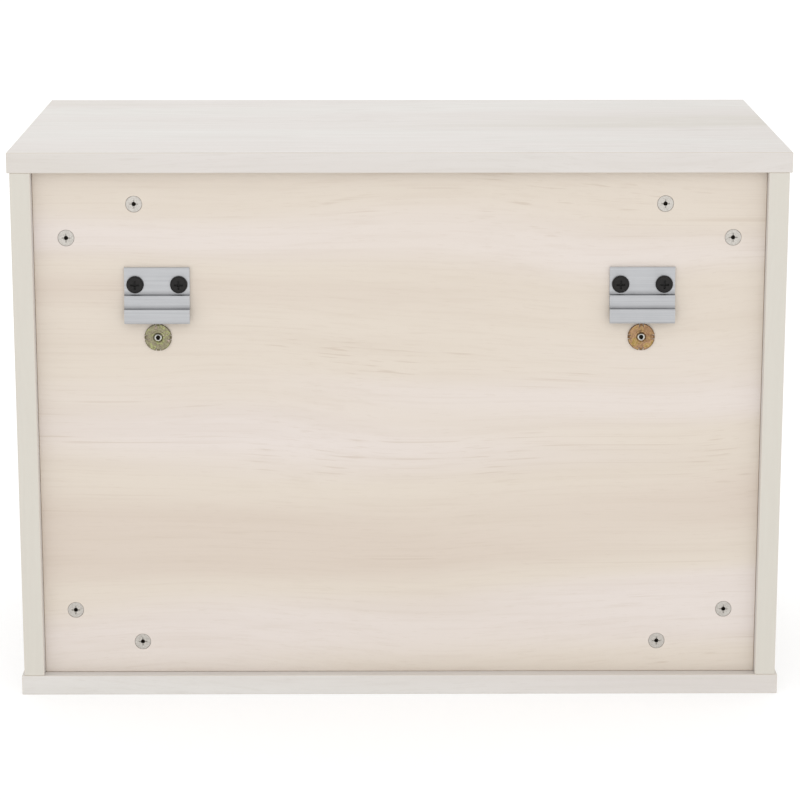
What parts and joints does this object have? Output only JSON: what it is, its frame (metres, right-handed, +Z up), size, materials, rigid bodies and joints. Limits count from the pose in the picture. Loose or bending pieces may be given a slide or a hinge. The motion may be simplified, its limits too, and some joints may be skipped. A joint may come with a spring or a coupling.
{
  "type": "toy box",
  "caption": "Wall-hung wooden toy box: boards joined by cam fittings, a drop-down front flap with soft-down stays, hanging cleats and locking screws on the back.",
  "frame": {"origin": "middle of the underside, at the centre of the box's outline", "axes": "+Z up, -Y the front where the flap opens, +Y the rear that hangs on the wall, +X right as seen from the front"},
  "size_m": [0.57, 0.3, 0.412],
  "materials": {
    "case_board": "pale whitewashed wood grain, satin",
    "side_board": "pale whitewashed wood grain, satin",
    "panel_board": "pale whitewashed wood grain, satin",
    "flap_board": "pale whitewashed wood grain, satin",
    "cam_zinc": "die-cast zinc, bright",
    "bolt_steel": "zinc-plated steel",
    "dowel_beech": "plain turned beech",
    "cleat_aluminium": "extruded, fine lengthwise brushing",
    "black_screw": "black coated",
    "insert_yellow_zinc": "yellow-passivated zinc plating on steel",
    "lock_screw_steel": "zinc-plated steel",
    "hinge_steel": "nickel-plated steel",
    "small_screw": "zinc-plated steel",
    "catch_plastic": "moulded, white",
    "magnet": "nickel-plated",
    "bumper_rubber": "soft, translucent grey",
    "damper_plastic": "moulded, grey",
    "stay_steel": "nickel-plated steel"
  },
  "bodies": {
    "case": {"top_board": "case_board", "bottom_board": "case_board", "left_side": "side_board", "right_side": "side_board", "back_panel": "panel_board", "back_cam_bolts": "bolt_steel", "front_cam_bolts": "bolt_steel", "corner_dowels": "dowel_beech", "back_panel_dowels": "dowel_beech", "cleat_left": "cleat_aluminium", "cleat_right": "cleat_aluminium", "cleat_screws_left": "black_screw", "cleat_screws_right": "black_screw", "threaded_insert_left": "insert_yellow_zinc", "threaded_insert_right": "insert_yellow_zinc", "hinge_leaves_board": "hinge_steel", "hinge_pins": "hinge_steel", "hinge_screws_board": "small_screw", "catch_cases": "catch_plastic", "catch_magnets": "magnet", "catch_screws": "small_screw", "bumpers": "bumper_rubber", "damper_left": "damper_plastic", "damper_right": "damper_plastic", "damper_screws_left": "small_screw", "damper_screws_right": "small_screw"},
    "flap": {"front_flap": "flap_board", "hinge_leaves_flap": "hinge_steel", "hinge_screws_flap": "small_screw", "strike_discs": "hinge_steel", "strike_screws": "small_screw", "flap_bracket_left": "stay_steel", "flap_bracket_right": "stay_steel", "bracket_screws_left": "small_screw", "bracket_screws_right": "small_screw"},
    "lever_left": {"damper_shaft_left": "stay_steel", "lever_left": "stay_steel"},
    "link_left": {"link_left": "stay_steel"},
    "lock_screw_left": {"lock_screw_left": "lock_screw_steel"},
    "lever_right": {"damper_shaft_right": "stay_steel", "lever_right": "stay_steel"},
    "link_right": {"link_right": "stay_steel"},
    "lock_screw_right": {"lock_screw_right": "lock_screw_steel"},
    "cam_left_upper": {"cam_left_upper": "cam_zinc"},
    "cam_left_lower": {"cam_left_lower": "cam_zinc"},
    "cam_right_upper": {"cam_right_upper": "cam_zinc"},
    "cam_right_lower": {"cam_right_lower": "cam_zinc"},
    "cam_top_left": {"cam_top_left": "cam_zinc"},
    "cam_top_right": {"cam_top_right": "cam_zinc"},
    "cam_bottom_left": {"cam_bottom_left": "cam_zinc"},
    "cam_bottom_right": {"cam_bottom_right": "cam_zinc"},
    "cam_front_top_left": {"cam_front_top_left": "cam_zinc"},
    "cam_front_top_right": {"cam_front_top_right": "cam_zinc"},
    "cam_front_bottom_left": {"cam_front_bottom_left": "cam_zinc"},
    "cam_front_bottom_right": {"cam_front_bottom_right": "cam_zinc"}
  },
  "joints": [
    {"name": "flap_hinge", "type": "hinge", "parent": "case", "child": "flap", "pos_m": [0, -0.147, 0.0179], "axis": [1, 0, 0], "range_deg": [0, 90]},
    {"name": "lever_left_turn", "type": "hinge", "parent": "case", "child": "lever_left", "pos_m": [-0.2505, -0.017, 0.0429], "axis": [1, 0, 0], "range_deg": [0, 90]},
    {"name": "link_left_turn", "type": "hinge", "parent": "lever_left", "child": "link_left", "pos_m": [-0.2465, 0.011, 0.1629], "axis": [1, 0, 0], "range_deg": [-90, 0]},
    {"name": "lock_screw_left_travel", "type": "slide", "parent": "case", "child": "lock_screw_left", "axis": [0, 1, 0], "range_m": [0, 0.006]},
    {"name": "lever_right_turn", "type": "hinge", "parent": "case", "child": "lever_right", "pos_m": [0.2505, -0.017, 0.0429], "axis": [1, 0, 0], "range_deg": [0, 90]},
    {"name": "link_right_turn", "type": "hinge", "parent": "lever_right", "child": "link_right", "pos_m": [0.2465, 0.011, 0.1629], "axis": [1, 0, 0], "range_deg": [-90, 0]},
    {"name": "lock_screw_right_travel", "type": "slide", "parent": "case", "child": "lock_screw_right", "axis": [0, 1, 0], "range_m": [0, 0.006]},
    {"name": "cam_left_upper_turn", "type": "hinge", "parent": "case", "child": "cam_left_upper", "pos_m": [-0.244, 0.141, 0.348], "axis": [0, 1, 0], "range_deg": [0, 165]},
    {"name": "cam_left_lower_turn", "type": "hinge", "parent": "case", "child": "cam_left_lower", "pos_m": [-0.244, 0.141, 0.064], "axis": [0, 1, 0], "range_deg": [0, 165]},
    {"name": "cam_right_upper_turn", "type": "hinge", "parent": "case", "child": "cam_right_upper", "pos_m": [0.244, 0.141, 0.348], "axis": [0, 1, 0], "range_deg": [0, 165]},
    {"name": "cam_right_lower_turn", "type": "hinge", "parent": "case", "child": "cam_right_lower", "pos_m": [0.244, 0.141, 0.064], "axis": [0, 1, 0], "range_deg": [0, 165]},
    {"name": "cam_top_left_turn", "type": "hinge", "parent": "case", "child": "cam_top_left", "pos_m": [-0.194, 0.141, 0.373], "axis": [0, 1, 0], "range_deg": [0, 165]},
    {"name": "cam_top_right_turn", "type": "hinge", "parent": "case", "child": "cam_top_right", "pos_m": [0.194, 0.141, 0.373], "axis": [0, 1, 0], "range_deg": [0, 165]},
    {"name": "cam_bottom_left_turn", "type": "hinge", "parent": "case", "child": "cam_bottom_left", "pos_m": [-0.194, 0.141, 0.039], "axis": [0, 1, 0], "range_deg": [0, 165]},
    {"name": "cam_bottom_right_turn", "type": "hinge", "parent": "case", "child": "cam_bottom_right", "pos_m": [0.194, 0.141, 0.039], "axis": [0, 1, 0], "range_deg": [0, 165]},
    {"name": "cam_front_top_left_turn", "type": "hinge", "parent": "case", "child": "cam_front_top_left", "pos_m": [-0.268, -0.1, 0.373], "axis": [1, 0, 0], "range_deg": [0, 165]},
    {"name": "cam_front_top_right_turn", "type": "hinge", "parent": "case", "child": "cam_front_top_right", "pos_m": [0.268, -0.1, 0.373], "axis": [-1, 0, 0], "range_deg": [0, 165]},
    {"name": "cam_front_bottom_left_turn", "type": "hinge", "parent": "case", "child": "cam_front_bottom_left", "pos_m": [-0.268, -0.1, 0.039], "axis": [1, 0, 0], "range_deg": [0, 165]},
    {"name": "cam_front_bottom_right_turn", "type": "hinge", "parent": "case", "child": "cam_front_bottom_right", "pos_m": [0.268, -0.1, 0.039], "axis": [-1, 0, 0], "range_deg": [0, 165]}
  ],
  "couplings": [
    {"joint": "lever_left_turn", "follows": "flap_hinge", "ratio": 1},
    {"joint": "link_left_turn", "follows": "flap_hinge", "ratio": -1},
    {"joint": "lever_right_turn", "follows": "flap_hinge", "ratio": 1},
    {"joint": "link_right_turn", "follows": "flap_hinge", "ratio": -1}
  ]
}
